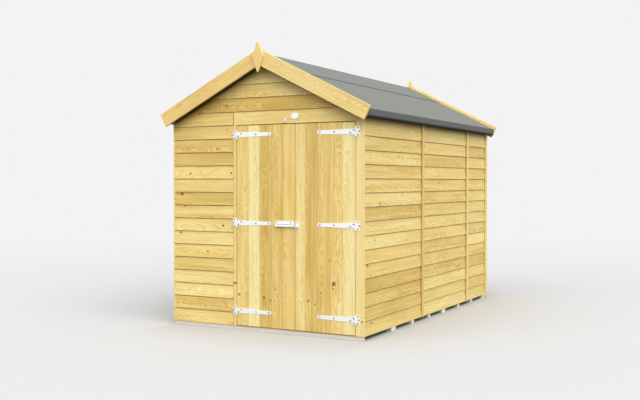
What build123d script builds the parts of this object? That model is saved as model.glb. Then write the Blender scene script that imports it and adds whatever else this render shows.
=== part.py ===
from build123d import *
import math
import os

# Apex garden shed, 6 x 10 ft, overlap clad, with double doors and a pad bolt.
# Millimetres, +Z up, +Y runs from the doors to the rear wall. The origin is on
# the ground below the middle of the shed.

# Overall size over the cladding, and the boards that set the heights
shed_width = 1830.0
shed_depth = 3016.0
front_board_cover = 112.0
door_head_rows = 15
gable_base_rows = 16

# Floor
bearer_height = 35.0
bearer_width = 44.0
bearer_end_inset = 3.0
front_bearer_end_inset = 60.0
bearer_spacing = 390.0
bearer_joint_gap = 2.0
skirt_thickness = 14.0
floor_thickness = 12.0
floor_front_length = 577.0
floor_middle_length = 1178.0
rear_bearer_inset = 68.0

# Walls
cladding_thickness = 14.0
frame_depth = 28.0
stud_width = 38.0
side_panel_length = 1192.0
stud_joint_gap = 1.0
corner_trim_width = 35.0
corner_trim_thickness = 12.0
cover_strip_width = 48.0
cover_strip_thickness = 12.0
rear_stud_bays = 4

# Doorway and doors
left_post_width = 33.0
right_post_width = 40.0
left_leaf_module = 563.0
right_leaf_module = 545.0
door_gap = 5.0
leaf_thickness = 14.0
ledge_height = 70.0
ledge_thickness = 22.0
ledge_end_inset = 34.0
brace_width = 60.0
brace_joint_gap = 1.5
brace_foot_inset = 20.0
top_hinge_below_head = 82.0
bottom_hinge_above_base = 128.0

# Tee hinges
hinge_plate_reach = 38.0
hinge_plate_height = 80.0
hinge_metal = 2.5
strap_length = 340.0
strap_root_height = 44.0
strap_tip_height = 28.0
strap_root_setback = 8.0
knuckle_diameter = 11.0
knuckle_height = 24.0
knuckle_gap = 0.5
knuckle_standoff = 0.5
pin_diameter = 5.0
pin_clearance = 0.3

# Pad bolt
bolt_plate_length = 174.0
bolt_plate_height = 52.0
bolt_plate_edge_inset = 6.0
bolt_bar_diameter = 12.0
bolt_bar_drop = 16.5
bolt_bar_clearance = 1.0
bolt_bar_length = 165.0
bolt_tip_inset = 5.0
bolt_guide_width = 11.0
bolt_guide_wall = 2.5
bolt_guide_corner = 3.0
bolt_guide_end_inset = 2.0
bolt_middle_guide_setback = 68.0
bolt_knob_diameter = 9.0
bolt_knob_length = 16.0
bolt_knob_from_tip = 118.0
keeper_width = 36.0
keeper_height = 62.0
keeper_drop = 5.0
keeper_edge_inset = 2.0
keeper_loop_width = 16.0

# Turn button and tally plate on the header
button_from_meeting = 87.0
button_above_head = 10.0
button_end_radius = 9.5
button_arm_length = 27.0
button_tip_radius = 6.0
button_thickness = 4.0
button_standoff = 5.5
button_screw_diameter = 5.0
button_screw_clearance = 0.3
button_washer_diameter = 12.0
button_head_diameter = 10.0
button_head_height = 2.0
tally_from_meeting = 1.0
tally_above_head = 57.0
tally_width = 80.0
tally_height = 48.0
tally_thickness = 2.0

# Roof
roof_run_per_rise = 2.0
wall_top_below_gable = 9.6
deck_thickness = 12.0
felt_thickness = 3.0
ridge_felt_reach = 395.0
eave_overhang = 61.0
eave_band_height = 58.0
verge_overhang = 82.0
purlin_width = 38.0
purlin_depth = 58.0
purlin_from_ridge = 450.0
eave_rail_width = 40.0
ridge_beam_width = 44.0
ridge_beam_depth = 70.0
rafter_depth = 38.0

# Barge boards and finials
barge_thickness = 16.0
barge_width = 120.0
barge_above_felt = 26.0
barge_end_reach = 88.0
finial_thickness = 15.0
finial_tip_above_barge = 56.0
finial_height = 250.0
finial_width = 94.0
finial_widest_from_tip = 118.0
finial_tip_width = 8.0
finial_belly = 5.0
finial_corner_radius = 16.0

# Levels and faces that follow from the sizes above
half_width = shed_width / 2
half_depth = shed_depth / 2
wall_base = bearer_height
floor_top = wall_base + floor_thickness
door_head = wall_base + front_board_cover * door_head_rows
gable_base = wall_base + front_board_cover * gable_base_rows
front_face = -half_depth
rear_face = half_depth
front_inner = front_face + cladding_thickness
rear_inner = rear_face - cladding_thickness
side_inner = half_width - cladding_thickness
frame_inner = side_inner - frame_depth
end_frame_front = front_inner + frame_depth
end_frame_rear = rear_inner - frame_depth

trim_left_x = half_width - corner_trim_width
right_post_left_x = trim_left_x - right_post_width
meeting_x = right_post_left_x - right_leaf_module
left_post_right_x = meeting_x - left_leaf_module
left_panel_right_x = left_post_right_x - left_post_width

roof_angle = math.atan(1 / roof_run_per_rise)
roof_cos = math.cos(roof_angle)
roof_sin = math.sin(roof_angle)
under_roof_ridge = gable_base - wall_top_below_gable + half_width / roof_run_per_rise
deck_top_ridge = under_roof_ridge + deck_thickness / roof_cos
felt_top_ridge = deck_top_ridge + felt_thickness / roof_cos
ridge_height = felt_top_ridge + felt_thickness / roof_cos
eave_outer = half_width + eave_overhang
deck_outer = eave_outer - felt_thickness
barge_front = front_face - verge_overhang
roof_front = barge_front + barge_thickness

bottom_hinge = wall_base + bottom_hinge_above_base
top_hinge = door_head - top_hinge_below_head
middle_hinge = (bottom_hinge + top_hinge) / 2
hinge_levels = (bottom_hinge, middle_hinge, top_hinge)

os.makedirs("parts", exist_ok=True)


def block(x, y, z):
    """A box between two X, two Y and two Z planes."""
    size = (x[1] - x[0], y[1] - y[0], z[1] - z[0])
    centre = ((x[0] + x[1]) / 2, (y[0] + y[1]) / 2, (z[0] + z[1]) / 2)
    return Pos(*centre) * Box(*size)


def prism(outline, y):
    """An outline of X, Z points, run along Y between two planes."""
    points = [(px, y[0], pz) for px, pz in outline]
    face = make_face(Polyline(*points, close=True))
    return extrude(face, amount=y[1] - y[0], dir=(0, 1, 0))


def upright(x, y, z, diameter, height):
    """A round bar along Z, centred on a point."""
    return Pos(x, y, z) * Cylinder(diameter / 2, height)


def across(x, y, z, diameter, length):
    """A round bar along X, centred on a point."""
    return Pos(x, y, z) * Rot(0, 90, 0) * Cylinder(diameter / 2, length)


def outward(x, y, z, diameter, length):
    """A round bar that stands out of the front from a point on it, towards -Y."""
    return Pos(x, y - length / 2, z) * Rot(90, 0, 0) * Cylinder(diameter / 2, length)


def other_side(shape):
    """The same piece on the other side of the shed."""
    return mirror(shape, about=Plane.YZ)


def other_end(shape):
    """The same piece at the other end of the shed."""
    return mirror(shape, about=Plane.XZ)


def slope(x, ridge):
    """The height at x of a plane along the roof that has the given ridge height."""
    return ridge - abs(x) / roof_run_per_rise


def under_roof(y):
    """The space below the roof boards, which wall tops are cut to."""
    reach = half_width + eave_overhang
    eave = slope(reach, under_roof_ridge)
    outline = [(-reach, 0), (reach, 0), (reach, eave), (0, under_roof_ridge), (-reach, eave)]
    return prism(outline, y)


def save(name, *solids):
    """Writes one node, from one solid or from several that don't touch."""
    shape = solids[0] if len(solids) == 1 else Compound(children=list(solids))
    export_step(shape, f"parts/{name}.step")


# Floor: bearers across the shed, a front skirt board and three boarded sections

front_section_end = front_face + floor_front_length
middle_section_end = front_section_end + floor_middle_length
bearer_z = (0, bearer_height)
skirt_back = front_face + skirt_thickness


def bearer(start, end_inset=bearer_end_inset):
    """One bearer that begins at a given Y."""
    reach = half_width - end_inset
    return block((-reach, reach), (start, start + bearer_width), bearer_z)


half_joint = bearer_joint_gap / 2
bearer_starts = [front_section_end - half_joint - bearer_width]
for section_start in (front_section_end, middle_section_end):
    first = section_start + half_joint
    bearer_starts += [first + bearer_spacing * step for step in range(3)]
bearer_starts += [middle_section_end - half_joint - bearer_width]
bearer_starts += [rear_face - rear_bearer_inset - bearer_width]
bearers = [bearer(start) for start in bearer_starts]
save("floor_bearers", bearer(skirt_back, front_bearer_end_inset), *bearers)
save("front_skirt_board", block((-half_width, half_width), (front_face, skirt_back), bearer_z))

floor_x = (-side_inner, side_inner)
floor_z = (wall_base, floor_top)
leaf_back = front_face + leaf_thickness
floor_start = leaf_back + door_gap
save("floor_front", block(floor_x, (floor_start, front_section_end), floor_z))
save("floor_middle", block(floor_x, (front_section_end, middle_section_end), floor_z))
save("floor_rear", block(floor_x, (middle_section_end, rear_inner), floor_z))

# Side walls: three clad panels a side, cut to the slope of the roof at the top

trim_back = front_face + corner_trim_thickness
first_joint = front_face + side_panel_length
second_joint = first_joint + side_panel_length
wall_z = (wall_base, ridge_height)
right_spans = {
    "front": (trim_back, first_joint),
    "middle": (first_joint, second_joint),
    "rear": (second_joint, rear_inner),
}
for panel, span in right_spans.items():
    save(f"right_wall_{panel}", block((side_inner, half_width), span, wall_z) & under_roof(span))
    left_span = (max(span[0], front_inner), span[1])
    left = block((-half_width, -side_inner), left_span, wall_z) & under_roof(left_span)
    save(f"left_wall_{panel}", left)

# Side wall framing: a bottom and a top rail a side, and three studs to a panel

rail_span = (end_frame_front, end_frame_rear)
frame_x = (frame_inner, side_inner)
bottom_rail_top = floor_top + stud_width
side_plate_base = slope(side_inner, under_roof_ridge) - stud_width
bottom_rail = block(frame_x, rail_span, (floor_top, bottom_rail_top))
top_rail = block(frame_x, rail_span, (side_plate_base, ridge_height)) & under_roof(rail_span)
save("side_wall_rails", bottom_rail, other_side(bottom_rail), top_rail, other_side(top_rail))

half_stud_gap = stud_joint_gap / 2
stud_spans = (
    (end_frame_front, first_joint - half_stud_gap),
    (first_joint + half_stud_gap, second_joint - half_stud_gap),
    (second_joint + half_stud_gap, end_frame_rear),
)
right_studs = []
for start, end in stud_spans:
    for place in (start, (start + end - stud_width) / 2, end - stud_width):
        stud_y = (place, place + stud_width)
        right_studs.append(block(frame_x, stud_y, (bottom_rail_top, side_plate_base)))
save("side_wall_studs", *right_studs, *[other_side(stud) for stud in right_studs])

# Cover strips over the panel joints, and trims at the corners

strip_x = (half_width, half_width + cover_strip_thickness)
strip_z = (wall_base, slope(strip_x[1], under_roof_ridge))


def side_strip(middle):
    """A strip on the right side wall, centred on a given Y."""
    half = cover_strip_width / 2
    return block(strip_x, (middle - half, middle + half), strip_z)


joint_strips = [side_strip(first_joint), side_strip(second_joint)]
save("wall_cover_strips", *joint_strips, *[other_side(strip) for strip in joint_strips])

rear_trim = side_strip(rear_face - cover_strip_width / 2)
front_left_trim = other_side(side_strip(front_face + cover_strip_width / 2))
front_right_trim = block((trim_left_x, half_width), (front_face, trim_back), wall_z)
front_right_trim = front_right_trim & under_roof((front_face, trim_back))
save("corner_trims", front_right_trim, front_left_trim, rear_trim, other_side(rear_trim))

# Front wall: the clad panel left of the doors, the header and the gable

front_y = (front_face, front_inner)
rear_y = (rear_inner, rear_face)


def clad(x, y, z):
    """A stretch of end wall cladding, cut to the roof."""
    return block(x, y, z) & under_roof(y)


low_z = (wall_base, gable_base)
high_z = (gable_base, ridge_height)
save("front_wall_left", clad((-half_width, left_panel_right_x), front_y, low_z))
save("front_header", clad((left_panel_right_x, trim_left_x), front_y, (door_head, gable_base)))
save("front_gable", clad((-half_width, trim_left_x), front_y, high_z))
save("rear_wall", clad((-half_width, half_width), rear_y, low_z))
save("rear_gable", clad((-half_width, half_width), rear_y, high_z))


def door_post(x):
    """A post beside the doors, with a foot cut to stand on the floor and lap its edge."""
    face = block(x, (front_face, front_inner), (wall_base, door_head))
    return face + block(x, (front_inner, end_frame_front), (floor_top, door_head))


half_gap = door_gap / 2
left_post = door_post((left_panel_right_x, left_post_right_x - half_gap))
right_post = door_post((right_post_left_x + half_gap, trim_left_x))
save("door_posts", left_post, right_post)

# End wall framing: rails across, studs between them, and rafters in the gables

front_frame_y = (front_inner, end_frame_front)
rear_frame_y = (end_frame_rear, rear_inner)
wall_x = (-side_inner, side_inner)
left_of_doors = (-side_inner, left_panel_right_x)
bottom_rail_z = (floor_top, bottom_rail_top)
lintel_z = (door_head, door_head + stud_width)
top_rail_z = (gable_base - stud_width, gable_base)
save(
    "end_wall_rails",
    block(left_of_doors, front_frame_y, bottom_rail_z),
    block(wall_x, front_frame_y, lintel_z),
    block((-frame_inner, frame_inner), front_frame_y, top_rail_z),
    block(wall_x, rear_frame_y, bottom_rail_z),
    block((-frame_inner, frame_inner), rear_frame_y, top_rail_z),
)


def end_stud(start, y, top):
    """A stud in an end wall that begins at a given X."""
    return block((start, start + stud_width), y, (bottom_rail_top, top))


def rafter(y):
    """The rafter under the right slope of a gable, standing on the top rail."""
    depth = rafter_depth / roof_cos
    near = ridge_beam_width / 2
    outer_foot = (under_roof_ridge - gable_base) * roof_run_per_rise
    inner_foot = (under_roof_ridge - depth - gable_base) * roof_run_per_rise
    outline = [
        (near, slope(near, under_roof_ridge)),
        (outer_foot, gable_base),
        (inner_foot, gable_base),
        (near, slope(near, under_roof_ridge) - depth),
    ]
    return prism(outline, y)


front_last = left_panel_right_x - stud_width
front_middle = (front_last - side_inner) / 2
front_studs = [end_stud(x, front_frame_y, door_head) for x in (-side_inner, front_middle, front_last)]
corner_stud_y = (trim_back, end_frame_front)
corner_stud = block((trim_left_x, side_inner), corner_stud_y, (floor_top, door_head))
rear_step = (2 * side_inner - stud_width) / rear_stud_bays
rear_places = [-side_inner + rear_step * bay for bay in range(rear_stud_bays + 1)]
rear_studs = [end_stud(x, rear_frame_y, top_rail_z[0]) for x in rear_places]
rafters = [rafter(front_frame_y), rafter(rear_frame_y)]
rafters += [other_side(beam) for beam in rafters]
save("end_wall_framing", *front_studs, corner_stud, *rear_studs, *rafters)

# Roof framing: a ridge beam, a purlin in each slope and a rail along each eave

eave_top = slope(eave_outer, felt_top_ridge)
band_base = eave_top - eave_band_height


def roof_timber(near, far, base, y):
    """A timber along the right slope, with its top cut to the roof boards."""
    outline = [
        (near, slope(near, under_roof_ridge)),
        (far, slope(far, under_roof_ridge)),
        (far, base),
        (near, base),
    ]
    return prism(outline, y)


roof_y = (roof_front, -roof_front)
purlin_near = purlin_from_ridge - purlin_width / 2
purlin_far = purlin_near + purlin_width
purlin_base = slope(purlin_far, under_roof_ridge) - purlin_depth
purlin = roof_timber(purlin_near, purlin_far, purlin_base, rail_span)
eave_rail = roof_timber(deck_outer - eave_rail_width, deck_outer, band_base, roof_y)
beam_half = ridge_beam_width / 2
beam_base = under_roof_ridge - ridge_beam_depth
beam_side = slope(beam_half, under_roof_ridge)
beam_outline = [
    (-beam_half, beam_base),
    (beam_half, beam_base),
    (beam_half, beam_side),
    (0, under_roof_ridge),
    (-beam_half, beam_side),
]
ridge_beam = prism(beam_outline, (front_inner, rear_inner))
save("roof_framing", ridge_beam, purlin, other_side(purlin), eave_rail, other_side(eave_rail))

# Roof boards, and the felt: a sheet down each slope and one over the ridge

deck_outline = [
    (0, deck_top_ridge),
    (deck_outer, slope(deck_outer, deck_top_ridge)),
    (deck_outer, slope(deck_outer, under_roof_ridge)),
    (0, under_roof_ridge),
]
roof_boards = prism(deck_outline, roof_y)
save("roof_boards_right", roof_boards)
save("roof_boards_left", other_side(roof_boards))

felt_outline = [
    (0, felt_top_ridge),
    (eave_outer, eave_top),
    (eave_outer, band_base),
    (deck_outer, band_base),
    (deck_outer, slope(deck_outer, deck_top_ridge)),
    (0, deck_top_ridge),
]
felt = prism(felt_outline, roof_y)
save("roof_felt_right", felt)
save("roof_felt_left", other_side(felt))

lap = ridge_felt_reach * roof_cos
ridge_felt_outline = [
    (0, ridge_height),
    (lap, slope(lap, ridge_height)),
    (lap, slope(lap, felt_top_ridge)),
    (0, felt_top_ridge),
    (-lap, slope(lap, felt_top_ridge)),
    (-lap, slope(lap, ridge_height)),
]
save("ridge_felt", prism(ridge_felt_outline, roof_y))

# Barge boards, mitred at the ridge and cut square at the eave

barge_apex = ridge_height + barge_above_felt / roof_cos
barge_end_x = half_width + barge_end_reach
barge_end_z = slope(barge_end_x, barge_apex)
barge_outline = [
    (0, barge_apex),
    (barge_end_x, barge_end_z),
    (barge_end_x - barge_width * roof_sin, barge_end_z - barge_width * roof_cos),
    (0, barge_apex - barge_width / roof_cos),
]
barge = prism(barge_outline, (barge_front, roof_front))
save("front_barge_right", barge)
save("front_barge_left", other_side(barge))
save("rear_barge_right", other_end(barge))
save("rear_barge_left", other_side(other_end(barge)))

# Finials: a pointed board over each pair of barge boards

finial_tip = barge_apex + finial_tip_above_barge
finial_half = finial_width / 2
finial_waist = finial_tip - finial_widest_from_tip
finial_base = finial_tip - finial_height
tip_half = finial_tip_width / 2
face_y = barge_front - finial_thickness
belly_x = (finial_half + tip_half) / 2 + finial_belly
belly_z = (finial_waist + finial_base) / 2
lower_left = ThreePointArc(
    (-tip_half, face_y, finial_base), (-belly_x, face_y, belly_z), (-finial_half, face_y, finial_waist)
)
upper = Polyline(
    (-finial_half, face_y, finial_waist),
    (-tip_half, face_y, finial_tip),
    (tip_half, face_y, finial_tip),
    (finial_half, face_y, finial_waist),
)
lower_right = ThreePointArc(
    (finial_half, face_y, finial_waist), (belly_x, face_y, belly_z), (tip_half, face_y, finial_base)
)
foot = Line((tip_half, face_y, finial_base), (-tip_half, face_y, finial_base))
finial = extrude(make_face([lower_left, upper, lower_right, foot]), amount=finial_thickness, dir=(0, 1, 0))
waist_edges = [
    edge
    for edge in finial.edges().filter_by(Axis.Y)
    if abs(abs(edge.center().X) - finial_half) < 1
]
finial = fillet(waist_edges, finial_corner_radius)
save("finials", finial, other_end(finial))

# Doors: boarded leaves with ledges and braces on the inside

leaf_z = (wall_base + door_gap, door_head - door_gap)
leaf_y = (front_face, leaf_back)
ledge_y = (leaf_back, leaf_back + ledge_thickness)
left_leaf_x = (left_post_right_x + half_gap, meeting_x - half_gap)
right_leaf_x = (meeting_x + half_gap, right_post_left_x - half_gap)
save("left_door_leaf", block(left_leaf_x, leaf_y, leaf_z))
save("right_door_leaf", block(right_leaf_x, leaf_y, leaf_z))


def ledges_and_braces(leaf_x, hinge_side):
    """Three ledges, and two braces that rise from the hinge side towards the middle."""
    near, far = leaf_x[0] + ledge_end_inset, leaf_x[1] - ledge_end_inset
    half = ledge_height / 2
    solids = [block((near, far), ledge_y, (level - half, level + half)) for level in hinge_levels]
    low_x = near + brace_foot_inset
    high_x = far - brace_foot_inset - brace_width
    if hinge_side == "right":
        low_x, high_x = high_x, low_x
    for low, high in zip(hinge_levels, hinge_levels[1:]):
        base = low + half + brace_joint_gap
        top = high - half - brace_joint_gap
        outline = [
            (low_x, base),
            (low_x + brace_width, base),
            (high_x + brace_width, top),
            (high_x, top),
        ]
        solids.append(prism(outline, ledge_y))
    return solids


save("left_door_ledges", *ledges_and_braces(left_leaf_x, "left"))
save("right_door_ledges", *ledges_and_braces(right_leaf_x, "right"))

# Tee hinges: a plate on the post and a strap on the leaf, turning on a pin

knuckle_radius = knuckle_diameter / 2
pin_y = front_face - knuckle_standoff - knuckle_radius
pin_bore = pin_diameter + 2 * pin_clearance
metal_y = (front_face - hinge_metal, front_face)
knuckle_offset = knuckle_height + knuckle_gap
plate_edge = knuckle_radius + knuckle_gap


def hinge_plate(pin_x, side, level):
    """The fixed plate of one hinge, its two outer knuckles and the pin; side is -1 to the left."""

    def span(near, far):
        return tuple(sorted((pin_x + side * near, pin_x + side * far)))

    half = hinge_plate_height / 2
    solid = block(span(plate_edge, hinge_plate_reach), metal_y, (level - half, level + half))
    for offset in (-knuckle_offset, knuckle_offset):
        middle = level + offset
        reach = (middle - knuckle_height / 2, middle + knuckle_height / 2)
        solid += block(span(0, plate_edge), metal_y, reach)
        solid += upright(pin_x, pin_y, middle, knuckle_diameter, knuckle_height)
    pin_length = 2 * knuckle_offset + knuckle_height
    return solid + upright(pin_x, pin_y, level, pin_diameter, pin_length)


def hinge_strap(pin_x, side, level):
    """The strap of one hinge: a knuckle, and a tapered bar with a round tip; side is 1 to the right."""
    tip_radius = strap_tip_height / 2
    tip_x = pin_x + side * (strap_length - tip_radius)
    root_x = pin_x + side * strap_root_setback
    root_half = strap_root_height / 2
    outline = [
        (root_x, level - root_half),
        (tip_x, level - tip_radius),
        (tip_x, level + tip_radius),
        (root_x, level + root_half),
    ]
    solid = prism(outline, metal_y)
    solid += outward(tip_x, front_face, level, strap_tip_height, hinge_metal)
    reach = (level - knuckle_height / 2, level + knuckle_height / 2)
    solid += block(tuple(sorted((pin_x, root_x))), metal_y, reach)
    solid += upright(pin_x, pin_y, level, knuckle_diameter, knuckle_height)
    return solid - upright(pin_x, pin_y, level, pin_bore, knuckle_height)


left_plates = [hinge_plate(left_post_right_x, -1, level) for level in hinge_levels]
right_plates = [hinge_plate(right_post_left_x, 1, level) for level in hinge_levels]
save("hinge_plates", *left_plates, *right_plates)
save("left_door_straps", *[hinge_strap(left_post_right_x, 1, level) for level in hinge_levels])
save("right_door_straps", *[hinge_strap(right_post_left_x, -1, level) for level in hinge_levels])

# Pad bolt: a plate with three guides, a sliding bar, and a keeper on the other leaf

bar_radius = bolt_bar_diameter / 2
bar_y = front_face - hinge_metal - bolt_bar_clearance - bar_radius
bar_level = middle_hinge - bolt_bar_drop
guide_bore = bolt_bar_diameter + 2 * bolt_bar_clearance
guide_outer = guide_bore + 2 * bolt_guide_wall


def bar_loop(start, width):
    """A square loop, round at its front corners, that holds the bar against its plate."""
    along = (start, start + width)
    outer, inner = guide_outer / 2, guide_bore / 2
    shell_z = (bar_level - outer, bar_level + outer)
    shell = block(along, (bar_y - outer, front_face - hinge_metal), shell_z)
    front_edges = shell.edges().filter_by(Axis.X).group_by(Axis.Y)[0]
    shell = fillet(front_edges, bolt_guide_corner)
    hole_z = (bar_level - inner, bar_level + inner)
    return shell - block(along, (bar_y - inner, bar_y + inner), hole_z)


def fixing_plate(start, width, middle, height):
    """A flat plate on the face of a leaf."""
    return block((start, start + width), metal_y, (middle - height / 2, middle + height / 2))


plate_end = left_leaf_x[1] - bolt_plate_edge_inset
plate_start = plate_end - bolt_plate_length
bolt_plate = fixing_plate(plate_start, bolt_plate_length, middle_hinge, bolt_plate_height)
guide_starts = (
    plate_start + bolt_guide_end_inset,
    plate_end - bolt_middle_guide_setback,
    plate_end - bolt_guide_end_inset - bolt_guide_width,
)
for start in guide_starts:
    bolt_plate += bar_loop(start, bolt_guide_width)
save("bolt_plate", bolt_plate)

bar_tip = left_leaf_x[1] - bolt_tip_inset
bar = across(bar_tip - bolt_bar_length / 2, bar_y, bar_level, bolt_bar_diameter, bolt_bar_length)
knob_x = bar_tip - bolt_knob_from_tip
bar += outward(knob_x, bar_y, bar_level, bolt_knob_diameter, bar_radius + bolt_knob_length)
save("bolt_bar", bar)

keeper_start = right_leaf_x[0] + keeper_edge_inset
keeper = fixing_plate(keeper_start, keeper_width, middle_hinge - keeper_drop, keeper_height)
loop_start = keeper_start + (keeper_width - keeper_loop_width) / 2
keeper += bar_loop(loop_start, keeper_loop_width)
save("bolt_keeper", keeper)

# Turn button on its screw, parked upright clear of the doors

button_x = meeting_x - button_from_meeting
button_z = door_head + button_above_head
button_face = front_face - button_standoff
button_tip_z = button_z + button_arm_length
button = outward(button_x, button_face, button_z, 2 * button_end_radius, button_thickness)
button += outward(button_x, button_face, button_tip_z, 2 * button_tip_radius, button_thickness)
arm_outline = [
    (button_x - button_end_radius, button_z),
    (button_x + button_end_radius, button_z),
    (button_x + button_tip_radius, button_tip_z),
    (button_x - button_tip_radius, button_tip_z),
]
button += prism(arm_outline, (button_face - button_thickness, button_face))
button_bore = button_screw_diameter + 2 * button_screw_clearance
button -= outward(button_x, button_face, button_z, button_bore, button_thickness)
save("turn_button", button)

washer_height = button_standoff - button_screw_clearance
head_base = button_face - button_thickness - button_screw_clearance
screw_length = front_face - head_base
screw = outward(button_x, front_face, button_z, button_washer_diameter, washer_height)
screw += outward(button_x, front_face, button_z, button_screw_diameter, screw_length)
screw += outward(button_x, head_base, button_z, button_head_diameter, button_head_height)
save("turn_button_screw", screw)

# A plain oval tally plate on the header

tally_x = meeting_x - tally_from_meeting
tally_z = door_head + tally_above_head
tally_outline = Plane((tally_x, front_face, tally_z), x_dir=(1, 0, 0), z_dir=(0, -1, 0))
tally = extrude(tally_outline * Ellipse(tally_width / 2, tally_height / 2), amount=tally_thickness)
save("tally_plate", tally)
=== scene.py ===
import bpy
import bmesh
import math
import random
from mathutils import Matrix, Vector


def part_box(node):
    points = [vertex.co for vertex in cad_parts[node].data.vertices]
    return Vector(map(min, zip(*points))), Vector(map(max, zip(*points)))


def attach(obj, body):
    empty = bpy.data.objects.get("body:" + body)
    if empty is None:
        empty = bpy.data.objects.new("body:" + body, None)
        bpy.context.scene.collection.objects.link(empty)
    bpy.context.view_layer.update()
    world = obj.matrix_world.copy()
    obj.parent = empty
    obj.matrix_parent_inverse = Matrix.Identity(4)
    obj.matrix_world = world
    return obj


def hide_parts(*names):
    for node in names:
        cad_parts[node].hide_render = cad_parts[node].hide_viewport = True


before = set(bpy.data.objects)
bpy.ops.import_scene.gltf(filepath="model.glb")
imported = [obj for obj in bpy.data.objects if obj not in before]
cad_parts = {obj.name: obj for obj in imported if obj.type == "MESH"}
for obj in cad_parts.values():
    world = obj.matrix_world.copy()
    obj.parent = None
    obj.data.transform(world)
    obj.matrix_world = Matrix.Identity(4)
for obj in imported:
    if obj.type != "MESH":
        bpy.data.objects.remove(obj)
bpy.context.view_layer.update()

# Floor bearers and the skirt board under the front wall.
# Rough-sawn treated softwood, laid on the ground across the shed; the boards and walls stand on them.
# Each is the solid's own shape with eased arrises, and carries its grain along its longest edge.
timber_ease = 0.0015
sharp_edge = math.radians(20)
flat_edge = math.radians(1)
weld_distance = 0.00001
shade_spread = 0.42
shade_limit = 1.5
knot_odds = (0.6, 0.35)
knot_radii = (0.003, 0.0085)
drawn_knot_reach = (0.9, 0.75)
known_knot_depth = 0.03


def islands(bm):
    """The separate solids of a mesh, as lists of vertices."""
    unseen = set(bm.verts)
    found = []
    while unseen:
        queue = [unseen.pop()]
        solid = list(queue)
        while queue:
            for edge in queue.pop().link_edges:
                for vert in edge.verts:
                    if vert in unseen:
                        unseen.discard(vert)
                        queue.append(vert)
                        solid.append(vert)
        found.append(solid)
    return sorted(found, key=lambda solid: min(tuple(round(c, 4) for c in vert.co) for vert in solid))


def mark_grain(bm, seed, along=None, tones=(), knots=2, knots_at=(), from_foot=False):
    """Gives each board a grain of its own, in metres, a shade of its own and places for up to two knots.

    knots_at lists (place, radius) of known knots. A board takes those that lie on it before the ones drawn
    for it, and a board that has none of them keeps only the second one drawn. With from_foot, the grain
    counts a board's width from its lower edge."""
    layers = bm.verts.layers
    grain = layers.float_vector.get("grain") or layers.float_vector.new("grain")
    places = [layers.float_vector.get(name) or layers.float_vector.new(name) for name in ("knot", "knot_two")]
    board = layers.float.get("board") or layers.float.new("board")
    tone = layers.float.get("tone") or layers.float.new("tone")
    draw = random.Random(seed)
    for index, solid in enumerate(islands(bm)):
        direction = along
        if direction is None:
            edges = {edge for vert in solid for edge in vert.link_edges}
            longest = max(edges, key=lambda edge: edge.calc_length())
            direction = (longest.verts[1].co - longest.verts[0].co).normalized()
        upright = Vector((0, 0, 1)) if abs(direction.z) < 0.95 else Vector((1, 0, 0))
        through = direction.cross(upright).normalized()
        across = through.cross(direction).normalized()
        reaches = [[vert.co.dot(axis) for vert in solid] for axis in (across, through)]
        if max(reaches[1]) - min(reaches[1]) > max(reaches[0]) - min(reaches[0]):
            across, through = through, across
        middle = sum((vert.co for vert in solid), Vector()) / len(solid)
        axes = (direction, across, through)
        marks = [tuple((vert.co - middle).dot(axis) for axis in axes) for vert in solid]
        half_length = max(mark[0] for mark in marks)
        half_width = max(mark[1] for mark in marks)
        foot = min(mark[1] for mark in marks) if from_foot else 0.0
        number = draw.random()
        shade = draw.gauss(0.0, shade_spread)
        if index < len(tones):
            shade = tones[index]
        spots = []
        for place in range(2):
            radius = draw.uniform(*knot_radii) if draw.random() < knot_odds[place] else 0.0
            run = draw.uniform(-drawn_knot_reach[0], drawn_knot_reach[0]) * half_length
            rise = draw.uniform(-drawn_knot_reach[1], drawn_knot_reach[1]) * half_width
            spots.append(Vector((run, rise - foot, radius)) if place < knots else Vector())
        given = []
        for place, radius in knots_at:
            run, rise, depth = ((Vector(place) - middle).dot(axis) for axis in axes)
            if abs(run) < half_length and abs(rise) < half_width and abs(depth) < known_knot_depth:
                given.append(Vector((run, rise - foot, radius)))
        if knots_at:
            spots = (given + spots)[:2] if given else [Vector(), spots[1]]
        for vert, mark in zip(solid, marks):
            vert[grain] = (mark[0], mark[1] - foot, mark[2])
            vert[board] = number
            vert[tone] = max(-shade_limit, min(shade_limit, shade))
            vert[places[0]] = spots[0]
            vert[places[1]] = spots[1]


def finish_piece(bm, name, material, body, slot, *nodes):
    """Turns a mesh into a piece of the shed that rides on a body and stands for its solids."""
    mesh = bpy.data.meshes.new(name)
    bm.to_mesh(mesh)
    bm.free()
    mesh.materials.append(material)
    piece = bpy.data.objects.new(name, mesh)
    bpy.context.scene.collection.objects.link(piece)
    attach(piece, body)
    if nodes:
        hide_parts(*nodes)
    return piece


def clean_copy(node):
    """The mesh of a node's solids, with the corners of its triangles joined."""
    bm = bmesh.new()
    bm.from_mesh(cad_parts[node].data)
    bmesh.ops.remove_doubles(bm, verts=bm.verts[:], dist=weld_distance)
    return bm


def ease_all(bm, ease):
    """Eases every arris of the timbers in a mesh."""
    edges = [edge for edge in bm.edges if edge.calc_face_angle(0) > sharp_edge]
    bmesh.ops.bevel(
        bm, geom=edges, offset=ease, segments=1, affect="EDGES", profile=0.5, material=-1, clamp_overlap=True
    )


def eased_copy(node):
    """The solids of a node as clean timbers with eased arrises."""
    bm = clean_copy(node)
    bmesh.ops.dissolve_limit(bm, angle_limit=flat_edge, verts=bm.verts[:], edges=bm.edges[:])
    ease_all(bm, timber_ease)
    return bm


def feed(tree, socket, value):
    """Links a socket to a node's output, or sets it to a plain value."""
    if hasattr(value, "links"):
        tree.links.new(value, socket)
    else:
        socket.default_value = value


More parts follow.
